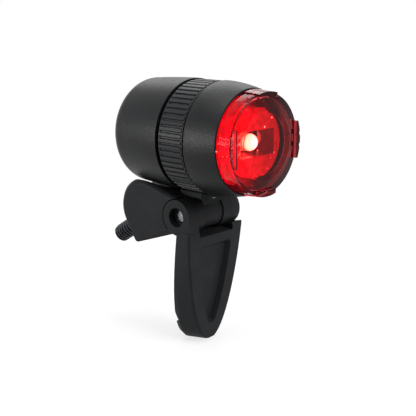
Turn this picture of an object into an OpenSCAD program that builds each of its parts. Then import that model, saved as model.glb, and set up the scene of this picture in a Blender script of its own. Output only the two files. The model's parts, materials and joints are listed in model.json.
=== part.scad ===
// Bicycle rear light on a tilting quick-release bracket.
// The lamp's axis lies along Y with the lens towards -Y, and the pivot pin lies along X.
// The origin is the middle of the flat seat that the threaded stud stands on.

/* [Lamp shell] */
// Radius of the lamp over the ribs of the switch ring
lamp_r = 17; // [15:0.1:19]
// Length of the front housing
front_len = 11; // [9:0.5:14]
// Length of the switch ring
ring_len = 9.5; // [9:0.1:12]
// Length of the rear cap
cap_len = 21.2; // [18.8:0.2:24]
// Gap between the front housing and the ring
seam_gap = 0.8; // [0.3:0.1:1]
// Gap between the ring and the rear cap
cap_gap = 0.9; // [0.7:0.1:1.4]
// Width of the front housing's edge round the lens
nose_lip = 0.7; // [0.5:0.1:1.4]
// Swell of the housing and the cap above the ring
crown = 0.2; // [0:0.05:0.4]
// Taper of the rear cap's radius from front to back
cap_taper = 0.8; // [0:0.1:1]
// Rounding of the rear cap's back edge
back_round = 5; // [3:0.5:6]
// Wall at the back of the rear cap
back_wall = 1.6; // [1.2:0.1:2]

/* [Switch ring] */
// Number of ribs round the ring
rib_count = 60; // [40:1:72]
// Depth of the grooves between the ribs
rib_depth = 0.55; // [0.3:0.05:0.6]
// Share of each pitch that the rib's top takes
rib_share = 0.5; // [0.4:0.05:0.6]
// Width of the plain rim at each edge of the ring
rim_w = 0.6; // [0.4:0.1:1]
// Turn of the ring between off and on, in degrees
ring_turn = 20; // [10:1:25]

/* [Lens] */
// Radius of the lens where it leaves the housing
lens_r = 15; // [13.5:0.1:16.5]
// Wall of the lens
lens_wall = 1.5; // [1.2:0.1:1.6]
// Depth that the lens sits inside the housing
lens_seat = 2.4; // [2:0.1:3]
// Height of the lens in front of the housing
lens_out = 5.8; // [5:0.2:7]
// Radius of the lens's flat front disc
disc_r = 10.5; // [9:0.5:11]
// Width of a lug at the side of the lens
side_lug_w = 11; // [8:0.5:13]
// Width of a lug at the top and the bottom of the lens
end_lug_w = 8; // [6:0.5:10]
// Height that a lug stands proud of the lens
lug_proud = 0.7; // [0.6:0.1:1.2]

/* [Inside] */
// Wall of the shell round the chassis tube
shell_wall = 3; // [2.7:0.1:3.5]
// Wall of the chassis tube
tube_wall = 1.4; // [1.2:0.1:1.4]
// Length of the chassis tube inside the rear cap
tube_tail = 11; // [8:0.5:13]
// Room beside the battery cells in the chassis tube
cell_room = 0.6; // [0.5:0.1:1.5]
// Length of a battery cell
cell_len = 30.2; // [28:0.2:30.6]
// Wire of the contact springs
spring_wire = 0.5; // [0.4:0.05:0.6]

/* [Bracket] */
// Height of the pin's centre below the ring
pin_below = 6.6; // [6.4:0.1:8]
// Distance of the pin behind the middle of the ring
pin_back = 2.9; // [2:0.1:3.5]
// Diameter of the pivot pin
pin_d = 4; // [3:0.2:4.6]
// Width of the bracket and of the lever's ears
bracket_w = 23; // [22:0.5:26]
// Width of the lamp foot's knuckle
knuckle_w = 7.9; // [7:0.1:8.5]
// Width of each arm knuckle beside the foot
cheek_w = 3.35; // [3:0.05:3.4]
// Distance of the tail's centre behind the pin
tail_back = 15.4; // [14.6:0.2:18]
// Distance of the tail's centre below the pin
tail_drop = -0.5; // [-1.5:0.1:1]
// Radius of the tail
tail_r = 9.3; // [8.8:0.1:10]

/* [Stud] */
// Thread diameter of the stud
stud_d = 6; // [5:0.5:8]
// Length of the stud outside the bracket
stud_len = 18; // [14:1:25]
// Length of the plain shank next to the seat
shank_len = 8; // [5:0.5:10]
// Thread pitch
thread_pitch = 1; // [0.8:0.05:1.25]
// Angle of the stud below the lamp's axis
stud_angle = 32; // [25:1:40]
// Distance of the seat from the tail's centre
seat_out = 8.3; // [8:0.1:8.7]
// Height of the stud's axis above the tail's centre
stud_lift = -0.4; // [-1:0.1:1]

/* [Lever] */
// Radius of the lever's ears
ear_r = 5.45; // [5:0.05:5.7]
// Length of the lever from the pin to its tip
lever_len = 40.4; // [36:0.5:46]
// Distance of the lever's front face in front of the pin
lever_front = 6.4; // [5.9:0.1:7]
// Thickness of the lever at its top
lever_thick = 5.9; // [5.5:0.1:6.5]
// Extra thickness of the lever near its tip
tip_swell = 3.4; // [2:0.1:4]
// Rounding of the lever's edges
lever_edge = 0.6; // [0.4:0.1:1.2]
// Lean of the lever towards the back, in degrees
lever_lean = 4; // [0:0.5:8]
// Depth of the recess in the lever's front
recess_depth = 1.7; // [0.8:0.1:1.8]

/* [Hidden] */

$fn = 96;
soft_fn = 32;
eps = 0.01;
big = 100;

// Clearances: faces that are fixed, faces that turn, the sides of the hinge and the open air
fixed_fit = 0.05;
run_fit = 0.08;
pin_fit = 0.03;
side_gap = 0.1;
air_gap = 0.3;

// Stations along the lamp's axis, from the seam between the front housing and the ring
housing_back = -seam_gap / 2;
housing_front = housing_back - front_len;
ring_front = seam_gap / 2;
ring_back = ring_front + ring_len;
ring_mid = (ring_front + ring_back) / 2;
cap_front = ring_back + cap_gap;
cap_back = cap_front + cap_len;
lens_floor = housing_front + lens_seat;
lens_top = housing_front - lens_out;
tube_back = cap_front + tube_tail;

// Radii of the shells
shell_r = lamp_r + crown;
nose_r = lens_r + nose_lip;
cap_back_r = shell_r - cap_taper;
tube_r = lamp_r - shell_wall;
tube_in_r = tube_r - tube_wall;
cell_d = tube_in_r - cell_room;
bore_r = tube_r + run_fit;
seat_r = tube_r + fixed_fit;

// Stack inside the tube, from the lens towards the back
seal_thick = 0.5;
seal_back = lens_floor;
flange_back = seal_back - seal_thick;
lens_in_r = lens_r - lens_wall;
reflector_thick = 1.2;
reflector_r = lens_in_r - air_gap;
boss_inset = 0.3;
boss_r = disc_r - boss_inset;
boss_gap = 2.6;
funnel_rim = 2.7;
funnel_w = 2 * (boss_r - funnel_rim);
funnel_h = 7.5;
boss_front = lens_top + lens_wall + boss_gap;
skirt_wall = 0.8;
throat_w = 6.4;
throat_h = 6.2;
board_gap = 2.2;
board_front = lens_floor + board_gap;
funnel_depth = board_front - boss_front;
board_thick = 1;
board_back = board_front + board_thick;
board_r = tube_in_r - fixed_fit;
bridge_thick = 0.3;
bridge_back = cap_back - back_wall;
bridge_front = bridge_back - bridge_thick;
cell_back = bridge_front - fixed_fit;
cell_front = cell_back - cell_len;
cell_fit = 0.15;
cell_x = cell_d / 2 + cell_fit;
sleeve_r = tube_in_r - fixed_fit;
sleeve_step = 2;
sleeve_front = max(cell_front, board_back) + sleeve_step;
sleeve_back = tube_back;

// Bracket places, measured from the seat at the stud's foot
seat_y = seat_out * cos(stud_angle) + stud_lift * sin(stud_angle);
seat_z = seat_out * sin(stud_angle) - stud_lift * cos(stud_angle);
tail_y = -seat_y;
tail_z = seat_z;
pin_y = tail_y - tail_back;
pin_z = tail_z + tail_drop;
lamp_y = pin_y - ring_mid - pin_back;
lamp_z = pin_z + lamp_r + pin_below;
pin_r = pin_d / 2;

// Hinge stack across the bracket
half_w = bracket_w / 2;
knuckle_half = knuckle_w / 2;
cheek_in = knuckle_half + side_gap;
cheek_out = cheek_in + cheek_w;
ear_in = cheek_out + side_gap;
knuckle_step = 0.5;
knuckle_r = ear_r - knuckle_step;
counterbore_step = 1;
counterbore_r = pin_r + counterbore_step;
counterbore_depth = 2.4;
pin_half = half_w - counterbore_depth;
saddle_gap = 0.5;
saddle_r = shell_r + saddle_gap;

// Lamp foot: the saddle under the ring and the neck that goes through it
foot_top_r = lamp_r + air_gap;
foot_half = 6;
wing_drop = ear_r + air_gap;
foot_rise = 1;
foot_front = 5.4;
tab_front = 3.9;
foot_back = 3.4;
neck_half = 3.4;
neck_len = 5;
neck_gap = 0.35;
screw_d = 2;
screw_head_h = 1.1;
screw_pitch = 2.6;
screw_head_d = screw_pitch - side_gap;
screw_len = 6;

// Lever places, measured from the pin in the lever's own upright frame
window_gap = 0.12;
window_drop = ear_r + window_gap;
shoulder_drop = 3.6;
front_bow = 1.6;
front_blunt = 0.46;
back_bow = 1.9;
back_blunt = 0.34;
plate_flare = 0.9;
back_flare = 0.2;
back_drop = 1.2;
back_shoulder = 1.3;
heel_round = 2.4;
recess_top = 8.6;
recess_tip = 35;
recess_margin = 4.8;
recess_corner = 1.2;
recess_slope = 0.9;
scoop_tip = 6;
scoop_depth = 2.3;
scoop_rise = 4;
scoop_lip = 1.2;
swing_room = 1.5;
lever_back = lever_thick - lever_front;
lever_room = lever_back + swing_room;

// Turned round the lamp's axis: profile points are [radius, station]
module turned(points) {
    rotate([-90, 0, 0])
        rotate_extrude()
            polygon(points);
}

module lamp_frame() {
    translate([0, lamp_y, lamp_z])
        children();
}

module pin_frame() {
    translate([0, pin_y, pin_z])
        children();
}

// Frame with +Z along the stud, away from the bracket
module stud_frame() {
    rotate([-90 - stud_angle, 0, 0])
        children();
}

// Cylinder along the lamp's axis between two stations
module axial(r, y0, y1) {
    translate([0, y0, 0])
        rotate([-90, 0, 0])
            cylinder(h = y1 - y0, r = r);
}

// Cylinder along X between two places, round the current origin
module crosswise(r, x0, x1) {
    translate([x0, 0, 0])
        rotate([0, 90, 0])
            cylinder(h = x1 - x0, r = r);
}

// Box given by its low and high corners
module block(low, high) {
    translate(low)
        cube(high - low);
}

// Points along an arc, from one angle to another
function arc(centre, r, a0, a1, steps) = [
    for (i = [0:steps])
        let (a = a0 + (a1 - a0) * i / steps)
            [centre[0] + r * cos(a), centre[1] + r * sin(a)]
];

// Disc across the bracket with rounded edges, for hulls
soft_arc = 60;
soft_steps = 2;

module soft_disc(r, half, edge) {
    rotate([0, 90, 0])
        rotate_extrude($fn = 2 * soft_fn)
            polygon(concat(
                [[0, -half], [r - edge, -half]],
                arc([r - edge, edge - half], edge, -soft_arc, 0, soft_steps),
                arc([r - edge, half - edge], edge, 0, soft_arc, soft_steps),
                [[r - edge, half], [0, half]]
            ));
}

// Bracket that carries the pin and the stud
chin_len = 7;
arm_edge = 1.2;
tail_edge = 2;
crease_rise = 3.3;
side_draft = 24;
stud_depth = 9;
bar_drop = 1.2;
bar_w = 2;
belly_lift = 0.9;
belly = atan2(tail_r - ear_r + belly_lift - tail_drop, tail_back);
under_edge = 1.4;

module arm_body() {
    chin_y = -chin_len * sin(stud_angle) - arm_edge * cos(stud_angle);
    chin_z = -chin_len * cos(stud_angle) + arm_edge * sin(stud_angle);
    hull() {
        pin_frame()
            translate([0, 0, belly_lift / 2])
                soft_disc(ear_r - belly_lift / 2, half_w, arm_edge);
        translate([0, tail_y, tail_z])
            soft_disc(tail_r, half_w, tail_edge);
        translate([0, chin_y, chin_z])
            soft_disc(arm_edge, half_w, arm_edge / 2);
    }
}

// Wedge that draws one flank of the tail inwards below its crease
module flank_cut() {
    translate([half_w, tail_y, tail_z - crease_rise])
        rotate([-belly, 0, 0])
            rotate([0, -side_draft, 0])
                block([0, -big, -big], [big, big, 0]);
}

// Chamfer under one flank, widest at the hinge and running out at the tail
module under_cut() {
    translate([half_w, pin_y, pin_z - ear_r + belly_lift])
        rotate([-belly, 0, 0])
            rotate([0, 45, 0])
                translate([-under_edge, 0, 0])
                    rotate([0, 0, -atan(under_edge / tail_back)])
                        block([0, -big, -big], [big, big, big]);
}

module mount_arm() {
    color("#2b2c2e")
    difference() {
        union() {
            arm_body();
            pin_frame() {
                crosswise(ear_r, -cheek_out, cheek_out);
                block([-cheek_out, lever_room, -ear_r - bar_drop], [cheek_out, lever_room + bar_w, 0]);
            }
        }
        stud_frame()
            block([-big, -big, 0], [big, big, big]);
        stud_frame()
            translate([0, 0, -stud_depth])
                cylinder(h = stud_depth + eps, r = root_r + fixed_fit);
        for (side = [0, 1])
            mirror([side, 0, 0]) {
                flank_cut();
                under_cut();
                pin_frame()
                    crosswise(ear_r + air_gap, cheek_out, big);
            }
        pin_frame() {
            crosswise(pin_r + pin_fit, -big, big);
            crosswise(knuckle_r + air_gap, -cheek_in, cheek_in);
            block([-cheek_in, -big, 0], [cheek_in, foot_back + air_gap, big]);
            block([-cheek_in, -big, -big], [cheek_in, lever_room, 0]);
            block([-big, -big, -big], [big, lever_room, -ear_r]);
            block([-foot_half - air_gap, -big, ear_r], [foot_half + air_gap, foot_back + air_gap, big]);
        }
        lamp_frame() {
            axial(saddle_r, -big, big);
            pad_space(saddle_r + pad_depth);
        }
    }
}

// Stud with a thicker root moulded into the arm, a plain shank and a threaded end
thread_depth = 0.55;
crest_share = 0.1;
flank_share = 0.35;
tip_chamfer = 0.8;
root_step = 0.6;
root_r = stud_d / 2 + root_step;

module stud() {
    stud_r = stud_d / 2;
    valley_r = stud_r - thread_depth;
    turns = floor((stud_len - shank_len - tip_chamfer) / thread_pitch);
    thread = [
        for (i = [0:turns - 1])
            let (z = shank_len + i * thread_pitch)
                each [
                    [stud_r, z],
                    [valley_r, z + thread_pitch * flank_share],
                    [valley_r, z + thread_pitch * (1 - crest_share - flank_share)],
                    [stud_r, z + thread_pitch * (1 - crest_share)]
                ]
    ];
    color("#1d1e20")
    stud_frame()
        rotate_extrude()
            polygon(concat(
                [[0, fixed_fit - stud_depth], [root_r, fixed_fit - stud_depth], [root_r, 0], [stud_r, 0]],
                thread,
                [[stud_r, stud_len - tip_chamfer], [stud_r - tip_chamfer, stud_len], [0, stud_len]]
            ));
}

module pivot_pin() {
    color("#b9bcc0")
    pin_frame()
        crosswise(pin_r, -pin_half, pin_half);
}

// Rubber rest between the tail and the rear cap
pad_depth = 0.7;
pad_len = 4;
pad_half = 6.5;
pad_station = 6.5;
pad_mid = cap_front + pad_station;

module pad_space(r) {
    intersection() {
        axial(r, cap_front, cap_back);
        block([-pad_half, pad_mid - pad_len / 2, -big], [pad_half, pad_mid + pad_len / 2, 0]);
    }
}

module rest_pad() {
    color("#3a3a3a")
    lamp_frame()
        difference() {
            pad_space(saddle_r + pad_depth - fixed_fit);
            axial(shell_r + run_fit, -big, big);
        }
}

// Half width of the lever at a drop below the pin
function lever_half(drop, flare, bow, blunt, len) = (half_w + flare) * pow(1 - pow(drop / len, bow), blunt);

slice_steps = 14;

// Thin slice of the lever's outline from a top to a tip, drawn in by inset on every side
module lever_slice(inset, flare, bow, blunt, top, len) {
    high = top + inset;
    drops = [for (i = [0:slice_steps]) high + (len - inset - high) * sin(90 * i / slice_steps)];
    right = [for (d = drops) [max(lever_half(d, flare, bow, blunt, len) - inset, eps), -d]];
    left = [for (i = [slice_steps:-1:0]) [-right[i][0], right[i][1]]];
    rotate([90, 0, 0])
        linear_extrude(eps)
            polygon(concat(right, left));
}

module front_slice(inset) {
    lever_slice(inset, plate_flare, front_bow, front_blunt, shoulder_drop, lever_len);
}

module back_slice(inset, shorter) {
    rotate([atan(tip_swell / lever_len), 0, 0])
        lever_slice(
            inset, back_flare, back_bow, back_blunt,
            shoulder_drop + back_shoulder, lever_len + back_drop - shorter
        );
}

// Lever without its ears: thicker towards the tip, with rounded edges and a rounded heel
module lever_body() {
    hull() {
        translate([0, -lever_front + eps, 0])
            front_slice(lever_edge);
        translate([0, -lever_front + lever_edge, 0])
            front_slice(0);
        translate([0, lever_back - heel_round, 0])
            back_slice(0, 0);
        translate([0, lever_back - lever_edge, 0])
            back_slice(0, heel_round / 3);
        translate([0, lever_back, 0])
            back_slice(lever_edge, heel_round * 2 / 3);
    }
}

// Outline of the recess, which keeps a margin inside the lever's own outline
module recess_slice(inset) {
    low = recess_tip - inset;
    high = recess_top + inset;
    drops = [for (i = [0:slice_steps]) high + (low - high) * sin(90 * i / slice_steps)];
    right = [
        for (d = drops)
            [max(lever_half(d, plate_flare, front_bow, front_blunt, lever_len) - recess_margin - inset, eps), -d]
    ];
    left = [for (i = [slice_steps:-1:0]) [-right[i][0], right[i][1]]];
    rotate([90, 0, 0])
        linear_extrude(eps)
            offset(r = recess_corner - inset, $fn = soft_fn)
                offset(delta = inset - recess_corner)
                    polygon(concat(right, left));
}

module lever_recess() {
    hull() {
        translate([0, -lever_front, 0])
            recess_slice(0);
        translate([0, recess_depth - lever_front, 0])
            recess_slice(recess_slope);
    }
}

// Blend between the left ear and the lever's front face: its line ends just inside the ear's circle
blend_sink = 0.05;

module ear_blend() {
    blend_r = ear_r - blend_sink;
    reach = norm([lever_front, window_drop]);
    touch = 180 + atan2(window_drop, lever_front) - acos(blend_r / reach);
    rotate([90, 0, 90])
        translate([0, 0, -half_w])
            linear_extrude(half_w)
                polygon([
                    [0, 0], blend_r * [cos(touch), sin(touch)], [-lever_front, -window_drop], [0, -window_drop]
                ]);
}

// Notch across the back of the lever, with a lip below it for a fingertip
module finger_scoop(back, drop) {
    rotate([90, 0, 90])
        linear_extrude(big, center = true)
            polygon([
                [back - scoop_depth, -drop],
                [back + scoop_depth, -drop - 2 * scoop_lip],
                [back + scoop_depth, scoop_rise - drop + scoop_depth],
                [back - tip_swell / 4, scoop_rise - drop]
            ]);
}

module lever() {
    color("#2a2b2d")
    pin_frame()
    rotate([lever_lean, 0, 0])
    difference() {
        union() {
            lever_body();
            crosswise(ear_r, -half_w, half_w);
            ear_blend();
        }
        block([-ear_in, -big, -window_drop], [ear_in, big, big]);
        for (side = [0, 1])
            mirror([side, 0, 0]) {
                crosswise(pin_r + pin_fit, 0, big);
                crosswise(counterbore_r, pin_half, big);
            }
        lever_recess();
        finger_scoop(lever_back + tip_swell, lever_len - scoop_tip);
    }
}

// Foot under the lamp with the hinge knuckle between the arm's cheeks
module lamp_foot() {
    neck_y0 = ring_mid - neck_len / 2;
    color("#262729")
    difference() {
        union() {
            pin_frame() {
                crosswise(knuckle_r, -knuckle_half, knuckle_half);
                block([-knuckle_half, -tab_front, 0], [knuckle_half, foot_back, pin_below]);
                block([-foot_half, -foot_front, wing_drop], [foot_half, foot_back, pin_below + foot_rise]);
            }
            lamp_frame()
                block([-neck_half, neck_y0, -foot_top_r - foot_rise], [neck_half, neck_y0 + neck_len, 0]);
        }
        pin_frame()
            crosswise(pin_r + pin_fit, -big, big);
        lamp_frame()
            difference() {
                axial(foot_top_r, -big, big);
                block([-neck_half, neck_y0, -big], [neck_half, neck_y0 + neck_len, big]);
            }
        lamp_frame() {
            axial(seat_r, -big, big);
            foot_bores(screw_d / 2 + fixed_fit, 0);
        }
    }
}

module foot_bores(r, extra) {
    for (side = [-1, 1])
        translate([0, ring_mid + side * screw_pitch / 2, -tube_in_r - screw_len])
            cylinder(h = screw_len + extra, r = r);
}

// Screws that hold the foot to the tube from the inside
module foot_screws() {
    color("#a9abad")
    lamp_frame()
        for (side = [-1, 1])
            translate([0, ring_mid + side * (screw_pitch / 2), -tube_in_r]) {
                translate([0, 0, fixed_fit - screw_len])
                    cylinder(h = screw_len + eps, d = screw_d);
                cylinder(h = screw_head_h, d = screw_head_d);
            }
}

// Tube that everything in the lamp is mounted on
lug_groove = 2;
lug_deep = 0.7;
lug_y = 6;
lug_w = 4;

module chassis_tube() {
    groove_y = cap_front + lug_y;
    color("#3b3d40")
    lamp_frame()
        difference() {
            turned([
                [tube_in_r, lens_floor], [tube_r, lens_floor],
                [tube_r, groove_y], [tube_r - lug_deep, groove_y],
                [tube_r - lug_deep, groove_y + lug_groove], [tube_r, groove_y + lug_groove],
                [tube_r, tube_back], [tube_in_r, tube_back]
            ]);
            for (turn = [0, 180])
                rotate([0, turn, 0])
                    block([tube_r - lug_deep, groove_y, -lug_w / 2 - air_gap], [big, big, lug_w / 2 + air_gap]);
            foot_bores(screw_d / 2 + fixed_fit, tube_wall * 2);
            screw_seat();
        }
}

// Flat seat inside the tube for the screw heads
module screw_seat() {
    head_half = screw_head_d / 2 + fixed_fit;
    seat_half = screw_pitch / 2 + head_half;
    block([-head_half, ring_mid - seat_half, -tube_in_r - eps], [head_half, ring_mid + seat_half, 0]);
}

// Twist ring with ribs, a magnet pocket and the slot for the foot's neck
magnet_w = 4;
magnet_h = 1.5;
magnet_len = 5;
rib_ramp = 0.12;

module rib_outline() {
    pitch = 360 / rib_count;
    polygon([
        for (i = [0:rib_count - 1])
            let (a = i * pitch, top = pitch * rib_share, ramp = pitch * rib_ramp)
                each [
                    lamp_r * [cos(a), sin(a)],
                    lamp_r * [cos(a + top), sin(a + top)],
                    (lamp_r - rib_depth) * [cos(a + top + ramp), sin(a + top + ramp)],
                    (lamp_r - rib_depth) * [cos(a + pitch - ramp), sin(a + pitch - ramp)]
                ]
    ]);
}

module magnet_space(gap) {
    w = magnet_w / 2 + gap;
    l = magnet_len / 2 + gap;
    block([-w, ring_mid - l, bore_r - eps], [w, ring_mid + l, bore_r + magnet_h + gap]);
}

// Slot that the foot's neck stands in, long enough for the ring's turn
module neck_slot() {
    w = neck_half + neck_gap;
    reach = 2 * lamp_r;
    far = [w * cos(ring_turn), w * sin(ring_turn)];
    translate([0, ring_mid + neck_len / 2 + neck_gap, 0])
        rotate([90, 0, 0])
            linear_extrude(neck_len + 2 * neck_gap)
                polygon([
                    [-w, 0],
                    [-w, -reach],
                    far + reach * [sin(ring_turn), -cos(ring_turn)],
                    far
                ]);
}

module switch_ring() {
    rim_r = lamp_r - rib_depth / 2;
    color("#232426")
    lamp_frame()
        difference() {
            union() {
                axial(rim_r, ring_front, ring_front + rim_w);
                axial(rim_r, ring_back - rim_w, ring_back);
                translate([0, ring_front + rim_w / 2, 0])
                    rotate([-90, 0, 0])
                        linear_extrude(ring_len - rim_w)
                            rib_outline();
            }
            axial(bore_r, -big, big);
            neck_slot();
            magnet_space(fixed_fit);
        }
}

module ring_magnet() {
    color("#8d9093")
    lamp_frame()
        difference() {
            magnet_space(0);
            axial(bore_r + fixed_fit, -big, big);
        }
}

// Points of the front housing's crowned outside, from the ring to the lens
nose_bow = 1.8;
crown_steps = 12;

function crown_arc(steps) = [
    for (i = [0:steps])
        let (t = i / steps)
            [shell_r - (shell_r - nose_r) * pow(t, nose_bow), housing_back - front_len * t]
];

module front_housing() {
    color("#2d2e30")
    lamp_frame()
        turned(concat(
            [[seat_r, housing_back]],
            crown_arc(crown_steps),
            [[lens_r + fixed_fit, housing_front], [lens_r + fixed_fit, lens_floor], [seat_r, lens_floor]]
        ));
}

// Points of the lens's outside, from the housing to its middle
bevel_step = 0.25;
bevel_r = lens_r - bevel_step;
bevel_back = 0.7;
disc_edge = 0.6;
disc_step = 0.2;
lug_back = 1;

function lens_outside(inset) = [
    [lens_r - inset, housing_front],
    [lens_r - inset, (housing_front + lens_top) / 2],
    [bevel_r - inset, lens_top + bevel_back + inset],
    [disc_r + disc_edge - inset, lens_top + disc_step + inset],
    [disc_r - inset, lens_top + inset],
    [0, lens_top + inset]
];

// Lug on the lens's rim, with dents between its bumps
side_bumps = 3;
dent_r = 1;
dent_depth = 0.75;

module lens_lug(w, proud, bumps) {
    lug_front = lens_top - proud / 2;
    lug_end = housing_front - lug_back;
    lug_r = disc_r + disc_edge;
    dent_x = bevel_r + proud + dent_r - dent_depth;
    difference() {
        intersection() {
            block([bevel_r - lens_wall, lug_front, -w / 2], [lens_r + proud, lug_end, w / 2]);
            turned([
                [lug_r, housing_front], [lug_r, lug_front], [bevel_r + proud / 2, lug_front],
                [bevel_r + proud, lug_end], [lens_r, housing_front]
            ]);
        }
        for (i = [1:1:bumps - 1])
            translate([dent_x, 0, w * (i / bumps - 1 / 2)])
                axial(dent_r, -big, big);
    }
}

module lens() {
    color("#c8102e", 0.6)
    lamp_frame()
        difference() {
            union() {
                turned(concat([[0, flange_back], [lens_r, flange_back]], lens_outside(0)));
                for (side = [0, 180])
                    rotate([0, side, 0])
                        lens_lug(side_lug_w, lug_proud, side_bumps);
                for (side = [90, 270])
                    rotate([0, side, 0])
                        lens_lug(end_lug_w, lug_proud, 1);
            }
            turned(concat([[0, big], [lens_in_r, big]], lens_outside(lens_wall)));
        }
}

// Flat gasket behind the lens
module lens_seal() {
    color("#111111")
    lamp_frame()
        difference() {
            axial(lens_r, flange_back, seal_back);
            axial(lens_in_r, -big, big);
        }
}

// Reflector with a boss close behind the lens and a rectangular funnel round the light source
module reflector() {
    rim_front = lens_floor - reflector_thick;
    skirt_w = throat_w + 2 * skirt_wall;
    skirt_h = throat_h + 2 * skirt_wall;
    color("#d92a35")
    lamp_frame()
        difference() {
            union() {
                axial(reflector_r, rim_front, lens_floor);
                axial(boss_r, boss_front, rim_front + eps);
                block([-skirt_w / 2, lens_floor - eps, -skirt_h / 2], [skirt_w / 2, board_front, skirt_h / 2]);
            }
            translate([0, board_front + eps, 0])
                rotate([90, 0, 0])
                    linear_extrude(
                        height = funnel_depth + 2 * eps,
                        slices = 1,
                        scale = [funnel_w / throat_w, funnel_h / throat_h]
                    )
                        square([throat_w, throat_h], center = true);
        }
}

// Light source: a domed resin body with a flange, standing on the board
led_r = 2.5;
led_flange_r = 2.9;
led_flange = 1;
led_room = 3.2;

module led() {
    led_top = lens_top + lens_wall + led_room;
    color("#fff4e0")
    lamp_frame() {
        axial(led_flange_r, board_front - led_flange, board_front);
        axial(led_r, led_top + led_r, board_front);
        intersection() {
            translate([0, led_top + led_r, 0])
                sphere(led_r);
            axial(led_r + eps, led_top - eps, led_top + led_r + eps);
        }
    }
}

module led_board() {
    color("#1f5a34")
    lamp_frame()
        axial(board_r, board_front, board_back);
}

// Driver chip, coil and two capacitors on the back of the board
part_thick = 0.9;
chip_size = [4, 3.5];
chip_up = 6.25;
choke_size = [3.2, 3.2];
choke_up = -7;
capacitor_size = [1.6, 1];
capacitor_in = 3.05;
capacitor_up = board_r - capacitor_in;
capacitor_out = 4;

module board_part(size, out, up) {
    low = [out - size[0] / 2, board_back, up - size[1] / 2];
    block(low, low + [size[0], part_thick, size[1]]);
}

module board_parts() {
    color("#202022")
    lamp_frame() {
        board_part(chip_size, 0, chip_up);
        board_part(choke_size, 0, choke_up);
        for (side = [-1, 1])
            board_part(capacitor_size, side * capacitor_out, capacitor_up);
    }
}

// Magnet switch beside the ring
reed_r = 0.9;
reed_len = 9;

module reed_switch() {
    color("#9fb8ad")
    lamp_frame()
        translate([0, 0, tube_in_r - reed_r - side_gap])
            axial(reed_r, ring_mid - reed_len / 2, ring_mid + reed_len / 2);
}

// Tube swept along a coil: each ring of points stands square to the axis
coil_turns = 3;
coil_steps = 16;
coil_sides = 6;
coil_foot_r = 3.6;
coil_top_r = 2.4;

function coil_point(i, count, len) =
    let (t = i / count, r = coil_foot_r + (coil_top_r - coil_foot_r) * t, a = 360 * coil_turns * t)
        [r * cos(a), r * sin(a), spring_wire / 2 + (len - spring_wire) * t, a];

module coil(len) {
    count = coil_turns * coil_steps;
    rings = [
        for (i = [0:count])
            let (p = coil_point(i, count, len))
                [
                    for (k = [0:coil_sides - 1])
                        let (b = 360 * k / coil_sides, out = spring_wire / 2 * cos(b))
                            [p[0] + out * cos(p[3]), p[1] + out * sin(p[3]), p[2] + spring_wire / 2 * sin(b)]
                ]
    ];
    points = [for (ring = rings) each ring];
    sides = [
        for (i = [0:count - 1], k = [0:coil_sides - 1])
            let (a = i * coil_sides + k, b = i * coil_sides + (k + 1) % coil_sides)
                each [[a, a + coil_sides, b], [b, a + coil_sides, b + coil_sides]]
    ];
    foot = [for (k = [1:coil_sides - 2]) [0, k, k + 1]];
    top = [for (k = [1:coil_sides - 2]) let (n = count * coil_sides) [n, n + k + 1, n + k]];
    polyhedron(points, concat(sides, foot, top));
}

// Springs that press the cells against the bridge
module contact_springs() {
    len = cell_front - board_back - 2 * side_gap;
    color("#c9a24a")
    lamp_frame()
        for (side = [-1, 1])
            translate([side * cell_x, board_back + side_gap, 0])
                rotate([-90, 0, 0])
                    coil(len);
}

nub_r = 2;
nub_len = 0.6;

module battery_cells() {
    color("#8c9196")
    lamp_frame()
        for (side = [-1, 1])
            translate([side * cell_x, 0, 0]) {
                nub = side > 0 ? nub_len : 0;
                axial(cell_d / 2, cell_front, cell_back - nub);
                axial(nub_r, cell_back - nub - eps, cell_back);
            }
}

// Insert that holds the two cells inside the tube
module battery_sleeve() {
    head_space = screw_head_h + air_gap;
    color("#4a4c50")
    lamp_frame()
        difference() {
            axial(sleeve_r, sleeve_front, sleeve_back);
            for (side = [-1, 1])
                translate([side * cell_x, 0, 0])
                    axial(cell_d / 2 + cell_fit / 2, -big, big);
            block([-screw_pitch, -big, -big], [screw_pitch, big, head_space - tube_in_r]);
            block([-2 * reed_r, -big, tube_in_r - 3 * reed_r], [2 * reed_r, big, big]);
        }
}

// Metal disc in the cap that joins the two cells
module cell_bridge() {
    color("#c9a24a")
    lamp_frame()
        axial(cell_x + cell_d / 2, bridge_front, bridge_back);
}

// Screw-off cap over the cells, with bayonet lugs in the tube's groove
cavity_step = 0.3;
cap_cavity_r = tube_in_r + cavity_step;
cap_bow = 1.6;
cap_steps = 10;

function cap_outside(steps) = concat(
    [for (i = [0:steps])
        let (t = i / steps, len = cap_len - back_round)
            [shell_r - cap_taper * pow(t, cap_bow), cap_front + len * t]],
    arc([cap_back_r - back_round, cap_back - back_round], back_round, 0, 90, steps)
);

module cap_lugs() {
    groove_y = cap_front + lug_y;
    intersection() {
        difference() {
            axial(bore_r + eps, groove_y + side_gap, groove_y + lug_groove - side_gap);
            axial(tube_r - lug_deep + side_gap, -big, big);
        }
        block([-big, -big, -lug_w / 2], [big, big, lug_w / 2]);
    }
}

module rear_cap() {
    color("#2d2e30")
    lamp_frame() {
        difference() {
            turned(concat([[0, cap_front]], cap_outside(cap_steps), [[0, cap_back]]));
            axial(bore_r, -big, tube_back + air_gap);
            axial(cap_cavity_r, tube_back, bridge_back);
        }
        cap_lugs();
    }
}

// Seal ring in the gap between the ring and the cap
module cap_seal() {
    seal_r = cap_gap / 2 - fixed_fit;
    color("#0c0c0c")
    lamp_frame()
        translate([0, ring_back + cap_gap / 2, 0])
            rotate([-90, 0, 0])
                rotate_extrude()
                    translate([seat_r + seal_r, 0])
                        circle(seal_r);
}

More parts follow.
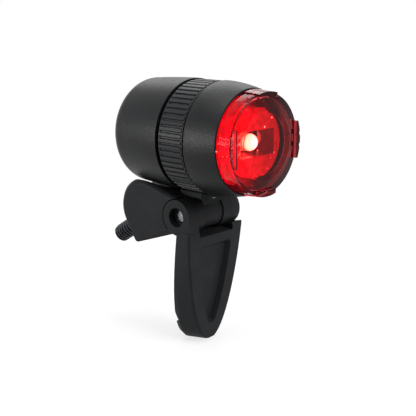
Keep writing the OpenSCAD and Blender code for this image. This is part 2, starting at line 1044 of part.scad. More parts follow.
mount_arm();
stud();
pivot_pin();
rest_pad();
lever();
lamp_foot();
foot_screws();
chassis_tube();
switch_ring();
ring_magnet();
front_housing();
lens();
lens_seal();
reflector();
led();
led_board();
board_parts();
reed_switch();
contact_springs();
battery_cells();
battery_sleeve();
cell_bridge();
rear_cap();
cap_seal();
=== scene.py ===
import json
import math

import bpy
from mathutils import Matrix, Vector


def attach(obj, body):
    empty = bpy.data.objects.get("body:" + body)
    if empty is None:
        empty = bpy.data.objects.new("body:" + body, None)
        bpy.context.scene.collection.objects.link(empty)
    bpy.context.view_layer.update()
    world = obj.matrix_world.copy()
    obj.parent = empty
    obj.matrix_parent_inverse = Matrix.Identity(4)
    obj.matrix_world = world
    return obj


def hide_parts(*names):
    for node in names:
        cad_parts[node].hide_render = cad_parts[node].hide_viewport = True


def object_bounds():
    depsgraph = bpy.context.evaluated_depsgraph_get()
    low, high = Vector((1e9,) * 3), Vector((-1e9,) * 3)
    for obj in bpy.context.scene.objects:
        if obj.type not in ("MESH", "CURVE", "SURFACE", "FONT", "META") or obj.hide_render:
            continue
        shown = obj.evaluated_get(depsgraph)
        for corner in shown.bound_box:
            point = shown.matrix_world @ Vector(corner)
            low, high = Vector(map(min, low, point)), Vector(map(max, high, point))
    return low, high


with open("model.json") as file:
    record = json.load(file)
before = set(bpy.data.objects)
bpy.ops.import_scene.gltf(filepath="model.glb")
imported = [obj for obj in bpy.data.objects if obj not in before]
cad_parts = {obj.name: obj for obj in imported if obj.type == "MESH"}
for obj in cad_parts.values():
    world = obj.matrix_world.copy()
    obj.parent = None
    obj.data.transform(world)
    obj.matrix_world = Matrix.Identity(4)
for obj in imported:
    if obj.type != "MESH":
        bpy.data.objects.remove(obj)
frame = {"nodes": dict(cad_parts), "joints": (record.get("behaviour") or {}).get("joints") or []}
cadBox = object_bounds()
nodes = frame["nodes"]
joints = {joint["name"]: joint for joint in frame["joints"]}
mm = 0.001
lampCentre = Vector(joints["ring_turn"]["pos_m"])
print("frame loaded:", len(nodes), "nodes")


# camera first: placed from the lamp's axis, for a square picture
view = {"azimuth": -47.4, "elevation": 13.3, "distance": 267 * mm, "sideways": -4.094 * mm,
        "rise": -20.678 * mm, "lens": 77.88, "sensor": 36.0, "nearClip": 10 * mm}
turn, tip = math.radians(view["azimuth"]), math.radians(view["elevation"])
viewRight = Vector((math.cos(turn), math.sin(turn), 0))
viewBack = Vector((math.sin(turn) * math.cos(tip), -math.cos(turn) * math.cos(tip), math.sin(tip)))
viewUp = viewBack.cross(viewRight)
cameraData = bpy.data.cameras.new("photoCamera")
cameraData.lens = view["lens"]
cameraData.sensor_width = view["sensor"]
cameraData.clip_start = view["nearClip"]
camera = bpy.data.objects.new("photoCamera", cameraData)
bpy.context.scene.collection.objects.link(camera)
camera.matrix_world = Matrix((
    (viewRight.x, viewUp.x, viewBack.x, 0),
    (viewRight.y, viewUp.y, viewBack.y, 0),
    (viewRight.z, viewUp.z, viewBack.z, 0),
    (0, 0, 0, 1)))
camera.matrix_world.translation = (
    lampCentre + viewRight * view["sideways"] + viewUp * view["rise"] + viewBack * view["distance"])
bpy.context.scene.camera = camera
print("camera placed")


def linearColour(hexText):
    parts = [int(hexText[i:i + 2], 16) / 255 for i in (1, 3, 5)]
    return tuple(c / 12.92 if c <= 0.04045 else ((c + 0.055) / 1.055) ** 2.4 for c in parts) + (1.0,)


# a node with its settings and links; ramp gives the place and colour of a colour ramp's two ends
def addNode(tree, kind, settings=None, inputs=None, ramp=()):
    node = tree.nodes.new(kind)
    for name, value in (settings or {}).items():
        setattr(node, name, value)
    for name, value in (inputs or {}).items():
        if isinstance(value, bpy.types.NodeSocket):
            tree.links.new(value, node.inputs[name])
        else:
            node.inputs[name].default_value = value
    for end, (position, hexText) in enumerate(ramp):
        node.color_ramp.elements[end].position = position
        node.color_ramp.elements[end].color = linearColour(hexText)
    return node


def newMaterial(name):
    material = bpy.data.materials.new(name)
    material.use_nodes = True
    tree = material.node_tree
    tree.nodes.clear()
    place = addNode(tree, "ShaderNodeTexCoord").outputs["Object"]
    return material, tree, place


def closeMaterial(tree, shader):
    addNode(tree, "ShaderNodeOutputMaterial", inputs={"Surface": shader.outputs[0]})


# moulded nylon and rubber, black: satin from a spark-eroded mould, so it shows a fine even grain, a
# soft sheen that is never mirror-like, and faint cloudy patches where the melt flowed
mouldLook = {"cloudy": (0.3, 0.72), "grainy": (0.25, 0.75), "uneven": 0.05, "ior": 1.5}


def mouldedSkin(name, look):
    material, tree, place = newMaterial(name)
    cloud = addNode(tree, "ShaderNodeTexNoise", inputs={
        "Vector": place, "Scale": 1 / (look["cloudMm"] * mm), "Detail": 3.0, "Roughness": 0.55})
    grain = addNode(tree, "ShaderNodeTexNoise", inputs={
        "Vector": place, "Scale": 1 / (look["grainMm"] * mm), "Detail": 2.0, "Roughness": 0.6})
    tint = addNode(tree, "ShaderNodeValToRGB", inputs={"Fac": cloud.outputs["Fac"]},
                   ramp=zip(mouldLook["cloudy"], (look["dark"], look["light"])))
    dulled = addNode(tree, "ShaderNodeMapRange", inputs={
        "Value": grain.outputs["Fac"],
        "From Min": mouldLook["grainy"][0], "From Max": mouldLook["grainy"][1],
        "To Min": look["roughness"] - mouldLook["uneven"],
        "To Max": look["roughness"] + mouldLook["uneven"]})
    bumps = addNode(tree, "ShaderNodeBump", inputs={
        "Height": grain.outputs["Fac"], "Strength": look["bump"], "Distance": look["deepMm"] * mm})
    shader = addNode(tree, "ShaderNodeBsdfPrincipled", inputs={
        "Base Color": tint.outputs["Color"], "Roughness": dulled.outputs["Result"],
        "Normal": bumps.outputs["Normal"], "IOR": mouldLook["ior"],
        "Specular IOR Level": look["specular"]})
    closeMaterial(tree, shader)
    return material


# the real grain is about 0.1 mm, drawn three to six times as coarse so that it shows
shellNylon = mouldedSkin("shellNylon", {
    "dark": "#0f1011", "light": "#151618", "cloudMm": 9, "grainMm": 0.6, "roughness": 0.4,
    "bump": 1.0, "deepMm": 0.08, "specular": 0.18})
leverNylon = mouldedSkin("leverNylon", {  # bracket, lever and foot: duller than the lamp's shell
    "dark": "#1c1d1e", "light": "#232426", "cloudMm": 7, "grainMm": 0.6, "roughness": 0.52,
    "bump": 1.0, "deepMm": 0.08, "specular": 0.08})
ringNylon = mouldedSkin("ringNylon", {  # smoother, so that each rib catches a line of light
    "dark": "#17181a", "light": "#1e1f21", "cloudMm": 6, "grainMm": 0.3, "roughness": 0.38,
    "bump": 0.3, "deepMm": 0.02, "specular": 0.22})
innerNylon = mouldedSkin("innerNylon", {  # grey parts inside
    "dark": "#2c2e30", "light": "#36383b", "cloudMm": 8, "grainMm": 0.4, "roughness": 0.5,
    "bump": 0.3, "deepMm": 0.02, "specular": 0.4})
sealRubber = mouldedSkin("sealRubber", {  # matt and nearly black
    "dark": "#0a0a0b", "light": "#101011", "cloudMm": 4, "grainMm": 0.35, "roughness": 0.72,
    "bump": 0.5, "deepMm": 0.02, "specular": 0.3})


# plated or drawn metal: clear reflections broken by fine drawing lines and small cloudy spots
metalLook = {"spotty": (0.3, 0.7), "lined": (0.3, 0.7), "uneven": 0.07, "lineDeepMm": 0.01}


def platedMetal(name, look):
    material, tree, place = newMaterial(name)
    stretch = addNode(tree, "ShaderNodeMapping", inputs={"Vector": place, "Scale": look["stretch"]})
    lines = addNode(tree, "ShaderNodeTexNoise", inputs={
        "Vector": stretch.outputs["Vector"], "Scale": 1 / (look["lineMm"] * mm), "Detail": 2.0})
    spots = addNode(tree, "ShaderNodeTexNoise", inputs={
        "Vector": place, "Scale": 1 / (look["spotMm"] * mm), "Detail": 3.0})
    tint = addNode(tree, "ShaderNodeValToRGB", inputs={"Fac": spots.outputs["Fac"]},
                   ramp=zip(metalLook["spotty"], (look["dark"], look["light"])))
    dulled = addNode(tree, "ShaderNodeMapRange", inputs={
        "Value": lines.outputs["Fac"],
        "From Min": metalLook["lined"][0], "From Max": metalLook["lined"][1],
        "To Min": look["roughness"] - metalLook["uneven"],
        "To Max": look["roughness"] + metalLook["uneven"]})
    bumps = addNode(tree, "ShaderNodeBump", inputs={
        "Height": lines.outputs["Fac"], "Strength": look["bump"],
        "Distance": metalLook["lineDeepMm"] * mm})
    shader = addNode(tree, "ShaderNodeBsdfPrincipled", inputs={
        "Base Color": tint.outputs["Color"], "Metallic": 1.0, "Roughness": dulled.outputs["Result"],
        "Normal": bumps.outputs["Normal"]})
    closeMaterial(tree, shader)
    return material


blackZincSteel = platedMetal("blackZincSteel", {
    "dark": "#2b2c2f", "light": "#3c3d41", "lineMm": 0.4, "spotMm": 1.5, "stretch": (1, 1, 1),
    "roughness": 0.4, "bump": 0.3})
drawnSteel = platedMetal("drawnSteel", {
    "dark": "#5f6164", "light": "#96989b", "lineMm": 0.5, "spotMm": 0.7, "stretch": (1, 1, 1),
    "roughness": 0.34, "bump": 0.9})
cellTinplate = platedMetal("cellTinplate", {  # its drawing lines run along the cells
    "dark": "#8f9397", "light": "#b3b7ba", "lineMm": 0.5, "spotMm": 3.0, "stretch": (1, 0.1, 1),
    "roughness": 0.32, "bump": 0.2})
springBrass = platedMetal("springBrass", {
    "dark": "#b98e3a", "light": "#d2ab58", "lineMm": 0.3, "spotMm": 1.2, "stretch": (1, 1, 1),
    "roughness": 0.3, "bump": 0.2})
magnetNickel = platedMetal("magnetNickel", {
    "dark": "#a7a49e", "light": "#c2bfb8", "lineMm": 0.3, "spotMm": 1.0, "stretch": (1, 1, 1),
    "roughness": 0.24, "bump": 0.15})


# a point's place from the lamp's centre: sideways, lengthways, flat across the axis and away from it
def lampPlace(tree, place):
    centred = addNode(tree, "ShaderNodeVectorMath", {"operation": "SUBTRACT"}, {0: place, 1: lampCentre})
    parts = addNode(tree, "ShaderNodeSeparateXYZ", inputs={"Vector": centred.outputs["Vector"]})
    flat = addNode(tree, "ShaderNodeVectorMath", {"operation": "MULTIPLY"}, {
        0: centred.outputs["Vector"], 1: (1, 0, 1)})
    away = addNode(tree, "ShaderNodeVectorMath", {"operation": "LENGTH"}, {0: flat.outputs["Vector"]})
    return {"x": parts.outputs["X"], "y": parts.outputs["Y"], "flat": flat.outputs["Vector"],
            "away": away.outputs["Value"]}


# clear red polycarbonate: glass-like gloss outside, deep red through its thickness, and a trace of painted
# glow for the lamp's own light scattered in it, stronger on the side that the light source leans to and at
# the lugs; its IOR is below the real 1.58 and its mirror image is red, so that white surroundings don't
# veil it
def redPolycarbonate(look):
    material, tree, place = newMaterial("redPolycarbonate")
    spot = lampPlace(tree, place)
    # painted glow: strongest at the lamp's left, where the light source leans, fading to its right, plus a
    # painted glow at the lugs on the outer rim
    side = addNode(tree, "ShaderNodeMapRange", {"interpolation_type": "SMOOTHSTEP"}, {
        "Value": spot["x"], "From Min": look["sideMm"][0] * mm, "From Max": look["sideMm"][1] * mm,
        "To Min": look["sideGlow"][0], "To Max": look["sideGlow"][1]})
    lug = addNode(tree, "ShaderNodeMapRange", inputs={
        "Value": spot["away"], "From Min": look["lugMm"][0] * mm, "From Max": look["lugMm"][1] * mm,
        "To Min": 0.0, "To Max": look["lugGlow"]})
    glow = addNode(tree, "ShaderNodeMath", {"operation": "ADD"}, {
        0: side.outputs["Result"], 1: lug.outputs["Result"]})
    flow = addNode(tree, "ShaderNodeTexNoise", inputs={
        "Vector": place, "Scale": 1 / (look["flowMm"] * mm), "Detail": 1.0})
    tint = addNode(tree, "ShaderNodeValToRGB", inputs={"Fac": flow.outputs["Fac"]},
                   ramp=((0.0, look["dark"]), (1.0, look["light"])))
    bumps = addNode(tree, "ShaderNodeBump", inputs={
        "Height": flow.outputs["Fac"], "Strength": look["bump"], "Distance": look["deepMm"] * mm})
    shader = addNode(tree, "ShaderNodeBsdfPrincipled", inputs={
        "Base Color": tint.outputs["Color"], "Roughness": look["roughness"], "IOR": look["ior"],
        "Specular Tint": linearColour(look["mirrorTint"]),
        "Transmission Weight": 1.0, "Normal": bumps.outputs["Normal"],
        "Emission Color": linearColour(look["glow"]), "Emission Strength": glow.outputs["Value"]})
    closeMaterial(tree, shader)
    return material


redLens = redPolycarbonate({
    "dark": "#8e3238", "light": "#a0373c", "flowMm": 3.5, "bump": 0.08, "deepMm": 0.05,
    "roughness": 0.03, "ior": 1.3, "mirrorTint": "#781420", "glow": "#e02438",
    "sideMm": (-13.0, 5.0), "sideGlow": (0.06, 0.012), "lugMm": (15.0, 15.5), "lugGlow": 0.13})


# red moulded reflector, with the lamp's light on it painted as glow: the face glows, the funnel's walls are
# deep red, with painted shade where they turn from the front, and mirror the light source, the flange round
# it goes from red at one side to dark at the other as painted light and shade, the glow is patchy and
# pinker in places, a painted warm streaky glow lies beside the light source, and a few painted glints sit
# on it
def litReflector(look):
    material, tree, place = newMaterial("litReflector")
    spot = lampPlace(tree, place)
    zones = {}
    # painted glow on the face, flange and walls: bright at the lamp's left and fading to its right, as the
    # light falls
    for zone in ("face", "flange", "wall"):
        spread = look[zone]
        zones[zone] = addNode(tree, "ShaderNodeMapRange", {"interpolation_type": spread["ease"]}, {
            "Value": spot["x"], "From Min": spread["mm"][0] * mm, "From Max": spread["mm"][1] * mm,
            "To Min": spread["glow"][0], "To Max": spread["glow"][1]}).outputs["Result"]
    onFace = addNode(tree, "ShaderNodeMapRange", {"interpolation_type": "SMOOTHSTEP"}, {
        "Value": spot["away"], "From Min": look["rimMm"][0] * mm, "From Max": look["rimMm"][1] * mm,
        "To Min": 1.0, "To Max": 0.0})
    base = addNode(tree, "ShaderNodeMix", {"data_type": "FLOAT"}, {
        0: onFace.outputs["Result"], 2: zones["flange"], 3: zones["face"]})
    # painted shade: the funnel's walls, which turn away from the front, glow less than the face
    normal = addNode(tree, "ShaderNodeNewGeometry").outputs["Normal"]
    forward = addNode(tree, "ShaderNodeVectorMath", {"operation": "DOT_PRODUCT"}, {
        0: normal, 1: (0, -1, 0)})
    facing = addNode(tree, "ShaderNodeMapRange", inputs={
        "Value": forward.outputs["Value"],
        "From Min": look["facing"][0], "From Max": look["facing"][1],
        "To Min": zones["wall"], "To Max": 1.0})

    # painted glow, uneven in patches and pinker in places
    glowMottle = addNode(tree, "ShaderNodeTexNoise", inputs={
        "Vector": place, "Scale": 1 / (look["glowMottleMm"] * mm), "Detail": 3.0})
    glowPatches = addNode(tree, "ShaderNodeMapRange", inputs={
        "Value": glowMottle.outputs["Fac"],
        "From Min": look["glowMottled"][0], "From Max": look["glowMottled"][1],
        "To Min": look["glowPatches"][0], "To Max": look["glowPatches"][1]})
    glowRedness = addNode(tree, "ShaderNodeValToRGB", inputs={"Fac": glowMottle.outputs["Fac"]},
                      ramp=zip(look["pinkFrom"], (look["glow"], look["pinkGlow"])))

    # painted warm streaky glow round a hot spot to the left of the axis
    fromHot = addNode(tree, "ShaderNodeVectorMath", {"operation": "DISTANCE"}, {
        0: spot["flat"], 1: (look["hotMm"] * mm, 0, 0)})
    halo = addNode(tree, "ShaderNodeMapRange", {"interpolation_type": "SMOOTHSTEP"}, {
        "Value": fromHot.outputs["Value"],
        "From Min": look["haloMm"][0] * mm, "From Max": look["haloMm"][1] * mm,
        "To Min": 1.0, "To Max": 0.0})
    glowStreaks = addNode(tree, "ShaderNodeTexNoise", inputs={
        "Vector": place, "Scale": 1 / (look["streakMm"] * mm), "Detail": 2.0})
    broken = addNode(tree, "ShaderNodeMapRange", inputs={
        "Value": glowStreaks.outputs["Fac"],
        "From Min": look["glowStreaky"][0], "From Max": look["glowStreaky"][1]})
    spark = addNode(tree, "ShaderNodeMath", {"operation": "MULTIPLY"}, {
        0: halo.outputs["Result"], 1: broken.outputs["Result"]})

    # painted glints: bright dots on a few cells of a cell pattern
    glintCells = addNode(tree, "ShaderNodeTexVoronoi", inputs={
        "Vector": place, "Scale": 1 / (look["glintCellMm"] * mm)})
    dot = addNode(tree, "ShaderNodeMapRange", inputs={
        "Value": glintCells.outputs["Distance"],
        "From Min": look["glintSize"][0], "From Max": look["glintSize"][1],
        "To Min": 1.0, "To Max": 0.0})
    lot = addNode(tree, "ShaderNodeSeparateColor", inputs={"Color": glintCells.outputs["Color"]})
    chosen = addNode(tree, "ShaderNodeMath", {"operation": "GREATER_THAN"}, {
        0: lot.outputs["Red"], 1: look["glintFrom"]})
    glint = addNode(tree, "ShaderNodeMath", {"operation": "MULTIPLY"}, {
        0: dot.outputs["Result"], 1: chosen.outputs["Value"]})

    # the painted halo and glints get the warm colour and extra glow
    hot = addNode(tree, "ShaderNodeMath", {"operation": "MAXIMUM"}, {
        0: spark.outputs["Value"], 1: glint.outputs["Value"]})
    colour = addNode(tree, "ShaderNodeMix", {"data_type": "RGBA"}, {
        0: hot.outputs["Value"], 6: glowRedness.outputs["Color"], 7: linearColour(look["warm"])})
    sparkGain = addNode(tree, "ShaderNodeMath", {"operation": "MULTIPLY_ADD"}, {
        0: spark.outputs["Value"], 1: look["haloGlow"], 2: 1.0})
    gain = addNode(tree, "ShaderNodeMath", {"operation": "MULTIPLY_ADD"}, {
        0: glint.outputs["Value"], 1: look["glintGlow"], 2: sparkGain.outputs["Value"]})
    glow = base.outputs[0]
    for share in (facing.outputs["Result"], glowPatches.outputs["Result"], gain.outputs["Value"]):
        glow = addNode(tree, "ShaderNodeMath", {"operation": "MULTIPLY"}, {
            0: glow, 1: share}).outputs["Value"]
    shader = addNode(tree, "ShaderNodeBsdfPrincipled", inputs={
        "Base Color": linearColour(look["base"]), "Roughness": look["roughness"], "IOR": look["ior"],
        "Specular IOR Level": look["specular"],
        "Emission Color": colour.outputs[2], "Emission Strength": glow})
    closeMaterial(tree, shader)
    return material


# ranges in mm run from the left of the lamp to its right, or outwards from its axis; every glow, halo and
# glint here is painted light
reflectorRed = litReflector({
    "base": "#2a0408", "roughness": 0.14, "ior": 1.5, "specular": 0.7, "rimMm": (10.0, 10.6),
    "face": {"mm": (-9.0, 9.0), "glow": (4.2, 1.5), "ease": "LINEAR"},
    "flange": {"mm": (-13.0, 3.0), "glow": (3.2, 0.05), "ease": "LINEAR"},
    "wall": {"mm": (-3.5, 1.0), "glow": (1.1, 0.2), "ease": "SMOOTHSTEP"}, "facing": (0.55, 0.95),
    "glow": "#ff1420", "pinkGlow": "#ff2a5c", "pinkFrom": (0.4, 0.75),
    "glowMottleMm": 2.0, "glowMottled": (0.3, 0.7), "glowPatches": (0.6, 1.2),
    "warm": "#ffd9a4", "hotMm": -6.0, "haloMm": (0.5, 5.0), "haloGlow": 13.0,
    "streakMm": 1.1, "glowStreaky": (0.4, 0.66),
    "glintCellMm": 1.6, "glintSize": (0.08, 0.22), "glintFrom": 0.84, "glintGlow": 22.0})


# clear epoxy of the light source, switched on: white-hot at its dome, warmer towards its edge and dim
# down its sides
def glowingEpoxy(look):
    material, tree, place = newMaterial("glowingEpoxy")
    spot = lampPlace(tree, place)
    level = addNode(tree, "ShaderNodeMapRange", {"interpolation_type": "SMOOTHSTEP"}, {
        "Value": spot["y"], "From Min": look["domeMm"] * mm, "From Max": look["sideMm"] * mm,
        "To Min": look["bright"], "To Max": look["dim"]})
    edge = addNode(tree, "ShaderNodeMapRange", inputs={
        "Value": spot["away"], "From Min": 0.0, "From Max": look["radiusMm"] * mm})
    tint = addNode(tree, "ShaderNodeValToRGB", inputs={"Fac": edge.outputs["Result"]},
                   ramp=((0.0, look["white"]), (1.0, look["warm"])))
    shader = addNode(tree, "ShaderNodeBsdfPrincipled", inputs={
        "Base Color": linearColour(look["base"]), "Roughness": look["roughness"], "IOR": look["ior"],
        "Emission Color": tint.outputs["Color"], "Emission Strength": level.outputs["Result"]})
    closeMaterial(tree, shader)
    return material


ledEpoxy = glowingEpoxy({
    "base": "#fff1dc", "white": "#fffdf4", "warm": "#ffd9a0", "roughness": 0.15, "ior": 1.55,
    "domeMm": -11.0, "sideMm": -9.4, "radiusMm": 2.5, "bright": 34.0, "dim": 1.5})


# glass-fibre board under green solder mask, with the weave just showing, drawn coarse; the wave
# texture has 20 / (2 pi) bands to a unit of its scale
def solderMask(look):
    material, tree, place = newMaterial("solderMask")
    weave = addNode(tree, "ShaderNodeTexWave", {"wave_type": "BANDS", "bands_direction": "X"}, {
        "Vector": place, "Scale": math.tau / (20 * look["weaveMm"] * mm), "Distortion": 1.0})
    tint = addNode(tree, "ShaderNodeValToRGB", inputs={"Fac": weave.outputs["Fac"]},
                   ramp=((0.0, look["dark"]), (1.0, look["light"])))
    shader = addNode(tree, "ShaderNodeBsdfPrincipled", inputs={
        "Base Color": tint.outputs["Color"], "Roughness": look["roughness"], "IOR": look["ior"]})
    closeMaterial(tree, shader)
    return material


boardMask = solderMask({
    "dark": "#174a2b", "light": "#1f5d38", "weaveMm": 1.579, "roughness": 0.35, "ior": 1.5})


# glass tube of the magnet switch, pale green with faint streaks
def switchGlass(look):
    material, tree, place = newMaterial("switchGlass")
    streak = addNode(tree, "ShaderNodeTexNoise", inputs={
        "Vector": place, "Scale": 1 / (look["streakMm"] * mm)})
    tint = addNode(tree, "ShaderNodeValToRGB", inputs={"Fac": streak.outputs["Fac"]},
                   ramp=((0.0, look["dark"]), (1.0, look["light"])))
    shader = addNode(tree, "ShaderNodeBsdfPrincipled", inputs={
        "Base Color": tint.outputs["Color"], "Roughness": look["roughness"], "IOR": look["ior"],
        "Transmission Weight": look["clear"]})
    closeMaterial(tree, shader)
    return material


reedGlass = switchGlass({
    "dark": "#8fb3a4", "light": "#b4d1c5", "streakMm": 1.5, "roughness": 0.08, "ior": 1.5, "clear": 0.6})
print("materials made")

finishes = {
    "mount_arm": leverNylon, "stud": blackZincSteel, "pivot_pin": drawnSteel, "rest_pad": sealRubber,
    "lever": leverNylon, "lamp_foot": leverNylon, "foot_screws": drawnSteel, "chassis_tube": innerNylon,
    "switch_ring": ringNylon, "ring_magnet": magnetNickel, "front_housing": shellNylon, "lens": redLens,
    "lens_seal": sealRubber, "reflector": reflectorRed, "led": ledEpoxy, "led_board": boardMask,
    "board_parts": sealRubber, "reed_switch": reedGlass, "contact_springs": springBrass,
    "battery_cells": cellTinplate, "battery_sleeve": innerNylon, "cell_bridge": springBrass,
    "rear_cap": shellNylon, "cap_seal": sealRubber}
for nodeName, finish in finishes.items():
    for slot in nodes[nodeName].material_slots:
        slot.material = finish


def pickOnly(piece):
    bpy.ops.object.select_all(action="DESELECT")
    piece.select_set(True)
    bpy.context.view_layer.objects.active = piece


# copy of a CAD node with its triangles joined and its sharp edges rounded as a mould leaves them
joinLook = {"weldMm": 0.001, "flatDegrees": 0.2}


def softenedCopy(nodeName, pieceName, soft):
    piece = bpy.data.objects.new(pieceName, nodes[nodeName].data.copy())
    bpy.context.scene.collection.objects.link(piece)
    pickOnly(piece)
    bpy.ops.mesh.customdata_custom_splitnormals_clear()
    bpy.ops.object.mode_set(mode="EDIT")
    bpy.ops.mesh.select_all(action="SELECT")
    bpy.ops.mesh.remove_doubles(threshold=joinLook["weldMm"] * mm)
    bpy.ops.mesh.dissolve_limited(angle_limit=math.radians(joinLook["flatDegrees"]))
    bpy.ops.object.mode_set(mode="OBJECT")
    edge = piece.modifiers.new("edge", "BEVEL")
    edge.width = soft["edgeMm"] * mm
    edge.segments = soft["segments"]
    edge.limit_method = "ANGLE"
    edge.angle_limit = math.radians(soft["sharpDegrees"])
    edge.use_clamp_overlap = True
    edge.miter_outer = "MITER_ARC"
    bpy.ops.object.modifier_apply(modifier=edge.name)
    bpy.ops.object.shade_smooth_by_angle(angle=math.radians(soft["smoothDegrees"]))
    level = piece.modifiers.new("level", "WEIGHTED_NORMAL")  # large faces stay flat beside the roundings
    level.keep_sharp = True
    bpy.ops.object.modifier_apply(modifier=level.name)
    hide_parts(nodeName)
    print("softened", nodeName, len(piece.data.polygons), "faces")
    return piece


softEdges = {
    "front_housing": {"piece": "housingShell", "body": "lamp", "slot": "black_plastic", "edgeMm": 0.22,
                      "segments": 3, "sharpDegrees": 35, "smoothDegrees": 40},
    "rear_cap": {"piece": "capShell", "body": "cap", "slot": "black_plastic", "edgeMm": 0.25,
                 "segments": 3, "sharpDegrees": 35, "smoothDegrees": 40},
    "switch_ring": {"piece": "ribbedRing", "body": "ring", "slot": "black_plastic", "edgeMm": 0.14,
                    "segments": 2, "sharpDegrees": 20, "smoothDegrees": 60},
    "lever": {"piece": "quickLever", "body": "lever", "slot": "black_plastic", "edgeMm": 0.45,
              "segments": 3, "sharpDegrees": 34, "smoothDegrees": 40},
    "mount_arm": {"piece": "bracketArm", "body": "bracket", "slot": "black_plastic", "edgeMm": 0.4,
                  "segments": 3, "sharpDegrees": 34, "smoothDegrees": 40},
    "lens": {"piece": "clearLens", "body": "lamp", "slot": "red_lens", "edgeMm": 0.28,
             "segments": 3, "sharpDegrees": 12, "smoothDegrees": 30},
    "pivot_pin": {"piece": "hingePin", "body": "bracket", "slot": "bright_steel", "edgeMm": 0.5,
                  "segments": 3, "sharpDegrees": 40, "smoothDegrees": 40},
    "lamp_foot": {"piece": "hingeFoot", "body": "lamp", "slot": "black_plastic", "edgeMm": 0.3,
                  "segments": 3, "sharpDegrees": 34, "smoothDegrees": 40}}
for nodeName, soft in softEdges.items():
    piece = softenedCopy(nodeName, soft["piece"], soft)
    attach(piece, soft["body"])


# stud with a helical thread: a cylinder cut into rows, each row set to its height and each point to the
# thread's radius there, in mm; M6 has a pitch of 1.0, drawn at 1.3 so that it shows
studLook = {"piece": "threadedStud", "sides": 72, "blank": 1.0, "angle": 32, "smoothDegrees": 40,
            "root": (-8.9, -0.02), "rootRadius": 3.58, "radius": 2.98, "depth": 0.7, "pitch": 1.3,
            "rootShare": 0.26, "flankShare": 0.36, "threadFrom": 7.6, "runOut": 0.8, "end": 17.98,
            "chamfer": 0.6, "rowStep": 0.108}


def studRadius(height, angle, look):
    if height < 0:
        return look["rootRadius"]
    phase = (height / look["pitch"] - angle / (2 * math.pi)) % 1
    crest = min(1, max(0, (abs(phase - 0.5) * 2 - look["rootShare"]) / look["flankShare"]))
    grown = min(1, max(0, (height - look["threadFrom"]) / look["runOut"]))
    radius = look["radius"] - look["depth"] * grown * (1 - crest)
    return min(radius, look["radius"] - look["chamfer"] + look["end"] - height)


heights = list(studLook["root"]) + [0.0, studLook["threadFrom"]]
rowCount = round((studLook["end"] - studLook["threadFrom"]) / studLook["rowStep"])
heights += [studLook["threadFrom"] + (row + 1) * studLook["rowStep"] for row in range(rowCount)]
heights[-1] = studLook["end"]
bpy.ops.object.select_all(action="DESELECT")
bpy.ops.mesh.primitive_cylinder_add(vertices=studLook["sides"], radius=studLook["radius"] * mm,
                                    depth=studLook["blank"], end_fill_type="NGON")
stud = bpy.context.object
stud.name = studLook["piece"]
bpy.ops.object.mode_set(mode="EDIT")
bpy.ops.mesh.select_mode(type="EDGE")  # so that only the lengthwise edges are cut
bpy.ops.mesh.select_all(action="DESELECT")
bpy.ops.object.mode_set(mode="OBJECT")
for edge in stud.data.edges:
    ends = [stud.data.vertices[i].co.z for i in edge.vertices]
    edge.select = abs(ends[0] - ends[1]) > studLook["blank"] / 2
bpy.ops.object.mode_set(mode="EDIT")
bpy.ops.mesh.subdivide(number_cuts=len(heights) - 2)
bpy.ops.object.mode_set(mode="OBJECT")
lean = math.radians(studLook["angle"])
along = Vector((0, math.cos(lean), -math.sin(lean)))
across = Vector((1, 0, 0))
upright = along.cross(across)
for vertex in stud.data.vertices:
    row = round((vertex.co.z / studLook["blank"] + 0.5) * (len(heights) - 1))
    angle = math.atan2(vertex.co.y, vertex.co.x)
    radius = studRadius(heights[row], angle, studLook)
    ringPoint = across * math.cos(angle) * radius + upright * math.sin(angle) * radius
    vertex.co = (ringPoint + along * heights[row]) * mm
pickOnly(stud)
bpy.ops.object.mode_set(mode="EDIT")
bpy.ops.mesh.select_all(action="SELECT")
bpy.ops.mesh.normals_make_consistent(inside=False)
bpy.ops.object.mode_set(mode="OBJECT")
bpy.ops.object.shade_smooth_by_angle(angle=math.radians(studLook["smoothDegrees"]))
stud.data.materials.append(blackZincSteel)
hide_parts("stud")
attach(stud, "bracket")
print("stud threaded:", len(stud.data.polygons), "faces")


# floor: plain and white to the eye, whiter away from the object, and it keeps the shadow
stageLook = {"floorSize": 6.0, "floorDrop": 0.4 * mm, "floorColour": "#f4f4f4", "ambient": 0.22,
             "nearShare": 0.72, "nearRadius": 0.05, "farRadius": 0.22, "white": "#ffffff"}
bpy.ops.object.select_all(action="DESELECT")
bpy.ops.mesh.primitive_plane_add(
    size=stageLook["floorSize"], location=(0, 0, cadBox[0][2] - stageLook["floorDrop"]))
floor = bpy.context.object
floor.name = "paleFloor"


# 1 for what the eye sees straight, mirrored or through the lens, 0 for light that falls on the object
def seenByEye(tree):
    path = addNode(tree, "ShaderNodeLightPath")
    mirrored = addNode(tree, "ShaderNodeMath", {"operation": "MAXIMUM"}, {
        0: path.outputs["Is Glossy Ray"], 1: path.outputs["Is Transmission Ray"]})
    seen = addNode(tree, "ShaderNodeMath", {"operation": "MAXIMUM"}, {
        0: path.outputs["Is Camera Ray"], 1: mirrored.outputs["Value"]})
    return seen.outputs["Value"]


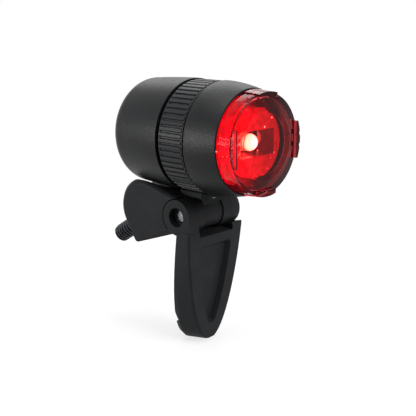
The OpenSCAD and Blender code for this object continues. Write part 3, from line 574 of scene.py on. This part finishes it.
floorMaterial, tree, place = newMaterial("paleFloor")
away = addNode(tree, "ShaderNodeVectorMath", {"operation": "LENGTH"}, {0: place})
share = addNode(tree, "ShaderNodeMapRange", {"interpolation_type": "SMOOTHSTEP"}, {
    "Value": away.outputs["Value"],
    "From Min": stageLook["nearRadius"], "From Max": stageLook["farRadius"],
    "To Min": stageLook["nearShare"], "To Max": 1.0})
paint = addNode(tree, "ShaderNodeBsdfDiffuse", inputs={"Color": linearColour(stageLook["floorColour"])})
white = addNode(tree, "ShaderNodeEmission", inputs={
    "Color": linearColour(stageLook["white"]), "Strength": seenByEye(tree)})
both = addNode(tree, "ShaderNodeMixShader", inputs={
    "Fac": share.outputs["Result"], 1: paint.outputs[0], 2: white.outputs[0]})
closeMaterial(tree, both)
floor.data.materials.append(floorMaterial)

world = bpy.data.worlds.new("studioWhite")
bpy.context.scene.world = world
world.use_nodes = True
tree = world.node_tree
tree.nodes.clear()
level = addNode(tree, "ShaderNodeMapRange", inputs={
    "Value": seenByEye(tree), "To Min": stageLook["ambient"], "To Max": 1.0})
sky = addNode(tree, "ShaderNodeBackground", inputs={
    "Color": linearColour(stageLook["white"]), "Strength": level.outputs["Result"]})
addNode(tree, "ShaderNodeOutputWorld", inputs={"Surface": sky.outputs[0]})

# soft boxes: a wide one overhead, one behind for the top edges and a low one at the left, which the
# shell mirrors, and a large panel at the right and a front fill, which leave no mirror image
boxes = {
    "topBox": {"place": (-0.06, -0.06, 0.6), "width": 0.55, "height": 0.55, "watts": 3.6,
               "mirrored": True},
    "backBox": {"place": (0.34, 0.3, 0.4), "width": 0.45, "height": 0.3, "watts": 0.9,
                "mirrored": True},
    "sideBox": {"place": (-0.55, 0.22, 0.07), "width": 0.4, "height": 0.17, "watts": 2.4,
                "mirrored": True},
    "rightPanel": {"place": (0.75, -0.5, 0.15), "width": 0.9, "height": 0.9, "watts": 2.2,
                   "mirrored": False},
    "frontFill": {"place": (0.1, -0.6, 0.3), "width": 0.4, "height": 0.4, "watts": 4.0,
                  "mirrored": False}}
for boxName, box in boxes.items():
    lightData = bpy.data.lights.new(boxName, "AREA")
    lightData.shape = "RECTANGLE"
    lightData.energy = box["watts"]
    lightData.size = box["width"]
    lightData.size_y = box["height"]
    light = bpy.data.objects.new(boxName, lightData)
    bpy.context.scene.collection.objects.link(light)
    light.location = box["place"]
    light.visible_glossy = box["mirrored"]
    light.rotation_euler = (lampCentre - Vector(box["place"])).to_track_quat("-Z", "Y").to_euler()
print("stage and light set")

bpy.context.scene.view_settings.view_transform = "Standard"
bpy.context.view_layer.update()
